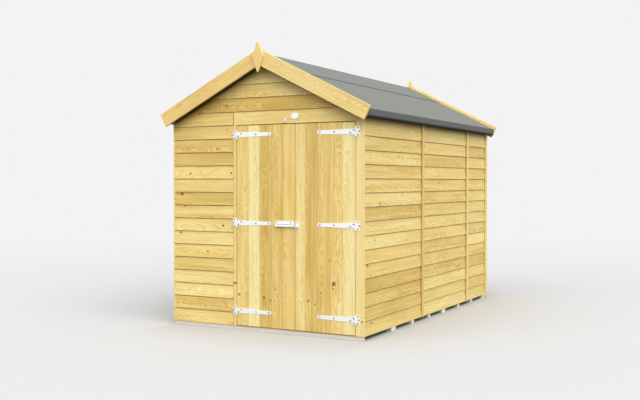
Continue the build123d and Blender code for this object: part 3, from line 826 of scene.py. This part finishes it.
# Places of the screws, as the distance from the pin and the height over the hinge's middle.
plate_places = ((0.020, -0.028), (0.020, 0.028), (0.030, 0.0))
strap_places = ((0.017, 0.011), (0.046, -0.009), (0.190, 0.0), (0.316, 0.0))
tally_screw_inset = 0.009
bolt_screw_drop = 0.012
bolt_screw_insets = (0.010, 0.032)
keeper_screw_insets = (0.0055, 0.010)
bar_shadow_inset = 0.012
bar_shadow_rise = 0.0205
bar_shadow_width = 0.003
bar_shadow_proud = 0.0004
bar_shadow_sunk = 0.001
black_steel = mottled("black screws", 300.0, tint(26, 24, 24), tint(44, 41, 40), 0.6, specular=0.25)


def screw_head(bm, x, z, face, radius=screw_radius):
    """One screw head on a face that looks to the front, with a cross sunk in it."""
    turn = Matrix.Rotation(math.pi / 2, 4, "X")
    seat = Matrix.Translation((x, face - screw_height / 2, z)) @ turn
    made = bmesh.ops.create_cone(
        bm, cap_ends=True, segments=screw_sides, radius1=radius, radius2=radius * screw_top,
        depth=screw_height, matrix=seat
    )["verts"]
    bm.normal_update()
    caps = (side for vert in made for side in vert.link_faces if len(side.verts) == screw_sides)
    top = next(side for side in caps if side.normal.y < -0.99)
    bmesh.ops.inset_individual(bm, faces=[top], thickness=radius * cross_rim)
    centre = Vector((x, face - screw_height, z))
    for index, vert in enumerate(top.verts):
        if index % 4:
            vert.co = centre.lerp(vert.co, cross_waist)
    sunk = bmesh.ops.extrude_discrete_faces(bm, faces=[top])["faces"]
    bmesh.ops.translate(bm, vec=(0, screw_height * cross_depth, 0), verts=list(sunk[0].verts))


def screws(name, body, places):
    """Screw heads at some places (x, z, face, radius) on one body."""
    bm = bmesh.new()
    for place in places:
        screw_head(bm, *place)
    finish_piece(bm, name, black_steel, body, "galvanised")


plate_screws = []
left_screws = []
right_screws = []
for level in hinge_levels:
    for pin, away, strap in ((left_pin, -1, left_screws), (right_pin, 1, right_screws)):
        plate_screws += [(pin + away * reach, level + lift, plate_face) for reach, lift in plate_places]
        strap += [(pin - away * reach, level + away * lift, plate_face) for reach, lift in strap_places]
tally_low, tally_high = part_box("tally_plate")
tally_level = (tally_low.z + tally_high.z) / 2
for x in (tally_low.x + tally_screw_inset, tally_high.x - tally_screw_inset):
    plate_screws.append((x, tally_level, tally_low.y, tally_screw_radius))
bolt_low, bolt_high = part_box("bolt_plate")
for x in (bolt_low.x + bolt_screw_insets[0], bolt_high.x - bolt_screw_insets[1]):
    left_screws.append((x, bolt_high.z - bolt_screw_drop, plate_face, bolt_screw_radius))
keeper_low, keeper_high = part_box("bolt_keeper")
keeper_middle = (keeper_low.x + keeper_high.x) / 2
for z in (keeper_high.z - keeper_screw_insets[1], keeper_low.z + keeper_screw_insets[0]):
    right_screws.append((keeper_middle, z, plate_face, bolt_screw_radius))
# Painted shadow: a black strip on the plate along the top of the bolt bar.
bm = bmesh.new()
bar_shadow_foot = bolt_low.z + bar_shadow_rise
plank(bm, Vector((bolt_low.x + bar_shadow_inset, plate_face - bar_shadow_proud, bar_shadow_foot)),
      Vector((bolt_high.x - bar_shadow_inset, plate_face + bar_shadow_sunk, bar_shadow_foot + bar_shadow_width)))
finish_piece(bm, "bolt_bar_shadow_strip", black_steel, "left_door", "galvanised")
screws("frame_screws", "root", plate_screws)
screws("left_door_screws", "left_door", left_screws)
screws("right_door_screws", "right_door", right_screws)
coat(black_steel, "turn_button_screw")

# Roof boards of planed pine, nailed side by side down each slope over the ridge beam, purlins and eave rails.
# They carry the felt, and show from below inside the shed and under the overhang.
roof_board_width = 0.112
slope_angle = math.atan(roof_fall)
for side, lean in (("left", -1), ("right", 1)):
    node = f"roof_boards_{side}"
    low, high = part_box(node)
    count = round((high.y - low.y) / roof_board_width)
    step = (high.y - low.y) / count
    length = (high.x - low.x) * slope_length
    bm = bmesh.new()
    for index in range(count):
        near = low.y + step * index + floor_board_gap / 2
        far = near + step - floor_board_gap
        plank(bm, Vector((0, near, -roof_board_thickness)), Vector((length, far, 0)))
    slope_turn = Matrix.Rotation(slope_angle, 4, "Y")
    bmesh.ops.transform(bm, matrix=Matrix.Translation((0, 0, high.z)) @ slope_turn, verts=bm.verts[:])
    if lean < 0:
        bmesh.ops.scale(bm, vec=(-1, 1, 1), verts=bm.verts[:])
        bmesh.ops.recalc_face_normals(bm, faces=bm.faces[:])
    ease_all(bm, timber_ease)
    mark_grain(bm, node, Vector((lean, 0, -roof_fall)).normalized())
    finish_piece(bm, node + "_pine", frame_pine, "root", "framing", node)

# Roofing felt with a fine mineral face: a sheet nailed down each slope and turned down over the eave,
# and a wider strip lapped over the ridge. The part turned down is darker, and its lower edge is black with
# painted shade.
eave_felt_drop = 0.058
felt_shadow_edge = 0.010
felt_blend = 0.004
felt_low, felt_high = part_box("roof_felt_right")
band_top = felt_low.z + eave_felt_drop
felt, tree, shader = new_finish("mineral felt")
coordinates = object_place(tree)
grit = noise_node(tree, coordinates, 900.0, 2.0)
patch = noise_node(tree, coordinates, 2.5, 3.0)
light_felt = mix_node(tree, patch, (0.170, 0.178, 0.161), (0.160, 0.167, 0.150))
grain_colour = mix_node(tree, math_node(tree, "MULTIPLY", grit, 0.25), light_felt, (0.09, 0.09, 0.082))
height = parts_of(tree, coordinates)[2]
turned_down = range_node(tree, height, band_top, band_top - felt_blend, 0.0, 0.55)
band_colour = mix_node(tree, turned_down, grain_colour, (0.085, 0.09, 0.078))
# Painted shade: the lowest part of the turned-down felt goes black, as the shade under the eave.
felt_shadow_level = felt_low.z + felt_shadow_edge
rim = range_node(tree, height, felt_shadow_level + felt_blend, felt_shadow_level, 0.0, 0.85)
tree.links.new(mix_node(tree, rim, band_colour, (0.012, 0.012, 0.011)), shader.inputs["Base Color"])
shader.inputs["Roughness"].default_value = 0.9
raised(tree, shader, grit, 0.4, 0.0008)
coat(felt, "roof_felt_left", "roof_felt_right", "ridge_felt")

# Bitumen of the felt's back, black, where the felt is turned under the eave rail and in under the verges.
# There the black strips are also painted shade, for the dark undersides of the eave and the verges.
eave_rail_width = 0.040
felt_sheet = 0.003
turned_thickness = 0.0025
felt_end_inset = 0.0005
verge_strip = 0.032
verge_thickness = 0.002
verge_clearance = 0.0001
verge_end_inset = 0.001
bead_width = 0.007
bead_height = 0.0012
bead_end_inset = 0.001
bitumen = mottled("black bitumen", 60.0, (0.005, 0.005, 0.0045), (0.009, 0.009, 0.008), 0.85, specular=0.1)
felt_length = felt_high.y - felt_low.y
turned_size = Vector((eave_rail_width + felt_sheet, felt_length - 2 * felt_end_inset, turned_thickness))
bm = bmesh.new()
for lean in (-1, 1):
    edge = min(lean * felt_high.x, lean * (felt_high.x - turned_size.x))
    low = Vector((edge, felt_low.y + felt_end_inset, felt_low.z - turned_thickness))
    plank(bm, low, low + turned_size)
verge_length = (felt_high.x - turned_size.x) * slope_length
verge_middle = felt_high.y - verge_strip / 2 - verge_end_inset
verge_level = under_ridge - verge_thickness / 2 - verge_clearance
size = Matrix.Diagonal((verge_length, verge_strip, verge_thickness, 1.0))
for lean in (-1, 1):
    for facing in (-1, 1):
        slope = Matrix.Translation((0, 0, verge_level)) @ Matrix.Rotation(lean * slope_angle, 4, "Y")
        middle = Matrix.Translation((lean * verge_length / 2, facing * verge_middle, 0))
        bmesh.ops.create_cube(bm, size=1.0, matrix=slope @ middle @ size)
finish_piece(bm, "felt_turned_under_shade", bitumen, "root", "roofing_felt")
bead_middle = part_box("ridge_felt")[1].x + bead_width / 2
place = Matrix.Translation((bead_middle, 0, felt_high.z - bead_middle * roof_fall))
size = Matrix.Diagonal((bead_width, felt_length - 2 * bead_end_inset, bead_height * 2, 1.0))
bm = bmesh.new()
for turned in (math.pi, 0):
    slope = place @ Matrix.Rotation(slope_angle, 4, "Y")
    made = bmesh.ops.create_cube(bm, size=1.0, matrix=slope @ size)["verts"]
    bmesh.ops.rotate(bm, verts=made, cent=(0, 0, 0), matrix=Matrix.Rotation(turned, 3, "Z"))
finish_piece(bm, "lap_bead", bitumen, "root", "roofing_felt")

# Barge boards at both ends of the roof, and the pointed finials over their joints, of planed pine.
# The boards are mitred at the ridge under the finial and nailed to the ends of the roof timbers.
barge_pine = pine("planed barge pine", tint(249, 228, 165), tint(237, 207, 130), tint(216, 174, 94),
                  pins=0.12, rough=0.55)
for node in ("front_barge_left", "front_barge_right", "rear_barge_left", "rear_barge_right"):
    bm = eased_copy(node)
    mark_grain(bm, node)
    finish_piece(bm, node + "_pine", barge_pine, "root", "trim", node)
bm = eased_copy("finials")
mark_grain(bm, "finials", Vector((0, 0, 1)), knots=0)
finish_piece(bm, "finials_pine", barge_pine, "root", "trim", "finials")

# A pale studio floor that fades into the background, which is not part of the shed.
# To the eye it is a light grey, with a painted warm bounce of light and painted shade round the shed, and
# more painted shade in front of it; to the shed it is a dim one.
floor_reach = 60.0
backdrop = tint(243, 243, 243)
fade_start = 4.5
fade_end = 12.0
open_floor = (0.500, 0.500, 0.504)
bounce_shaded_floor = (0.492, 0.482, 0.458)
dim_floor = (0.09, 0.09, 0.09)
shade_reach = 0.8
shade_depth = 0.08
left_pace = 4.0
side_pace = 6.0
bm = bmesh.new()
bmesh.ops.create_grid(bm, x_segments=1, y_segments=1, size=floor_reach)
floor_mesh = bpy.data.meshes.new("floor")
bm.to_mesh(floor_mesh)
bm.free()
floor_paint, tree, shader = new_finish("pale floor")
shader.inputs["Roughness"].default_value = 1.0
shader.inputs["Specular IOR Level"].default_value = 0.0


def seen_directly(tree):
    """1 for what the camera sees, also in gloss and through glass, and 0 for what lights the shed."""
    rays = tree.nodes.new("ShaderNodeLightPath").outputs
    either = math_node(tree, "MAXIMUM", rays["Is Camera Ray"], rays["Is Glossy Ray"])
    return math_node(tree, "MAXIMUM", either, rays["Is Transmission Ray"])


# Distances from the shed's foot count more on the left, and its shade in front still more at both sides.
to_eye = seen_directly(tree)
place = object_place(tree)
foot_corner = (side_face, rear_face, 0.0)
beyond_right = vector_node(tree, "SUBTRACT", place, foot_corner)
beyond_left = vector_node(tree, "ADD", place, foot_corner)
beyond_left = vector_node(tree, "MULTIPLY", beyond_left, (-left_pace, -1.0, 0.0))
from_shed = vector_node(tree, "MAXIMUM", beyond_right, beyond_left)
from_shed = vector_node(tree, "MAXIMUM", from_shed, (0.0, 0.0, 0.0))
from_front = vector_node(tree, "MULTIPLY", from_shed, (side_pace, 1.0, 0.0))
from_front = vector_node(tree, "LENGTH", from_front)
from_shed = vector_node(tree, "LENGTH", from_shed)
foot_shade = range_node(tree, from_front, 0.0, shade_reach, shade_depth, 0.0, smooth=True)
painted_bounce = range_node(tree, from_shed, 0.0, shade_reach, 1.0, 0.0, smooth=True)
# Painted warm bounce and shade round the shed, then painted shade in front of its foot.
seen_floor = mix_node(tree, painted_bounce, open_floor, bounce_shaded_floor)
seen_floor = mix_node(tree, foot_shade, seen_floor, (0.0, 0.0, 0.0))
tree.links.new(mix_node(tree, to_eye, dim_floor, seen_floor), shader.inputs["Base Color"])
glow = tree.nodes.new("ShaderNodeEmission")
glow.inputs["Color"].default_value = (*backdrop, 1)
away = vector_node(tree, "LENGTH", place)
fade = math_node(tree, "MULTIPLY", range_node(tree, away, fade_start, fade_end, smooth=True), to_eye)
blend = tree.nodes.new("ShaderNodeMixShader")
tree.links.new(fade, blend.inputs[0])
tree.links.new(shader.outputs[0], blend.inputs[1])
tree.links.new(glow.outputs[0], blend.inputs[2])
tree.links.new(blend.outputs[0], tree.nodes["Material Output"].inputs["Surface"])
floor_mesh.materials.append(floor_paint)
floor = bpy.data.objects.new("floor", floor_mesh)
bpy.context.scene.collection.objects.link(floor)

# Soft studio light from all round, brighter from above, which shows to the eye as the plain backdrop.
# One broad lamp stands over the right side of the shed and a weaker one over its front.
sky_low = 0.15
sky_high = 1.35
lamp_spread = math.radians(60)
world = bpy.data.worlds.new("studio")
bpy.context.scene.world = world
world.use_nodes = True
tree = world.node_tree
sky = tree.nodes["Background"]
sky.inputs["Color"].default_value = (1, 1, 1, 1)
sky_height = parts_of(tree, tree.nodes.new("ShaderNodeTexCoord").outputs["Generated"])[2]
sky_strength = range_node(tree, sky_height, 0.0, 1.0, sky_low, sky_high)
tree.links.new(sky_strength, sky.inputs["Strength"])
seen = tree.nodes.new("ShaderNodeBackground")
seen.inputs["Color"].default_value = (*backdrop, 1)
choose = tree.nodes.new("ShaderNodeMixShader")
tree.links.new(seen_directly(tree), choose.inputs[0])
tree.links.new(sky.outputs[0], choose.inputs[1])
tree.links.new(seen.outputs[0], choose.inputs[2])
tree.links.new(choose.outputs[0], tree.nodes["World Output"].inputs["Surface"])

for name, energy, drop, turn in (("key", 2.6, 47, 58), ("fill", 1.05, 52, -15)):
    lamp = bpy.data.lights.new(name, "SUN")
    lamp.energy = energy
    lamp.angle = lamp_spread
    sun = bpy.data.objects.new(name, lamp)
    sun.rotation_euler = (math.radians(drop), 0, math.radians(turn))
    bpy.context.scene.collection.objects.link(sun)

# The camera, at the place and angle that the photograph was taken from.
# Its lens and height were fitted to the lines of the cladding boards.
lens = bpy.data.cameras.new("camera")
lens.lens = 50
lens.sensor_width = 36
camera = bpy.data.objects.new("camera", lens)
camera.location = (3.886, -7.716, 1.245)
camera.rotation_euler = (math.radians(88.795), 0, math.radians(28.434))
bpy.context.scene.collection.objects.link(camera)
bpy.context.scene.camera = camera
bpy.context.scene.view_settings.view_transform = "Standard"
